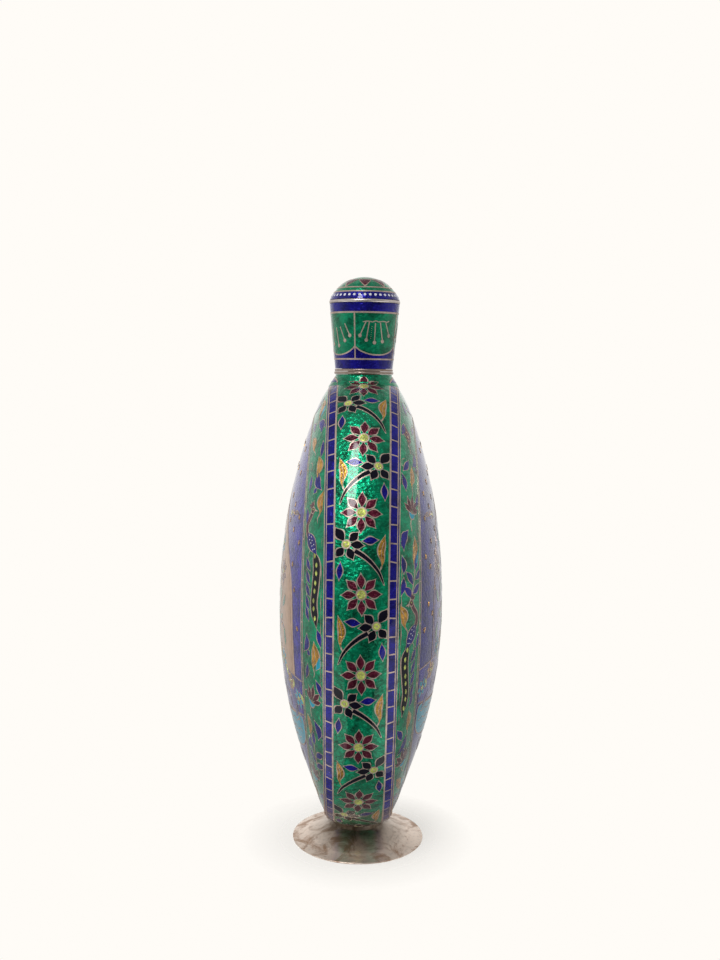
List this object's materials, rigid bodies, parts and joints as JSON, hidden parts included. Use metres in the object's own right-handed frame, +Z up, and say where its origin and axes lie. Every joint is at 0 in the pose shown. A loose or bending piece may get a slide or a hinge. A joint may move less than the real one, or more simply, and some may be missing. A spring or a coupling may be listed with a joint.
{
  "type": "enamelled flask",
  "caption": "Flat oval silver flask on a round flared foot, with cloisonne enamel flowers, domed faces and a screw cap on a short neck.",
  "frame": {"origin": "centre of the foot's underside, on the neck's axis", "axes": "+Z up along the neck's axis; -Y towards the narrow edge that the picture shows; +X and -X towards the two domed faces"},
  "size_m": [0.0538, 0.097, 0.189],
  "materials": {
    "silver": "handworked silver, softly polished, slightly warm with tarnish",
    "foot_silver": "dull hammered silver with brown tarnish patches",
    "green_enamel": "glossy translucent green enamel over silver, with wire-edged flowers",
    "blue_enamel": "glossy enamel over silver, green border and blue centre, wire-edged",
    "cork": "bare cork"
  },
  "bodies": {
    "flask": {"foot_plate": "foot_silver", "edge_enamel": "green_enamel", "neck_enamel": "green_enamel", "face_enamel_right": "blue_enamel", "face_enamel_left": "blue_enamel", "edge_strip": "silver", "seam_strip_right": "silver", "seam_strip_left": "silver", "face_plate_right": "silver", "face_plate_left": "silver", "neck_tube": "silver", "neck_collar": "silver", "neck_rim": "silver"},
    "liner": {"cork_liner": "cork"},
    "cap": {"cap_wall": "silver", "cap_wall_enamel": "green_enamel", "cap_mouth_ring": "silver", "cap_shoulder_ring": "silver", "cap_dome": "silver", "cap_dome_enamel": "blue_enamel", "cap_sleeve": "silver"}
  },
  "joints": [
    {"name": "cap_rise", "type": "slide", "parent": "flask", "child": "liner", "axis": [0, 0, 1], "range_m": [0, 0.005]},
    {"name": "cap_turn", "type": "hinge", "parent": "liner", "child": "cap", "pos_m": [0, 0, 0.1586], "axis": [0, 0, 1], "range_deg": [0, 900]}
  ],
  "couplings": [
    {"joint": "cap_rise", "follows": "cap_turn", "m_per_rad": 0.00031831}
  ]
}
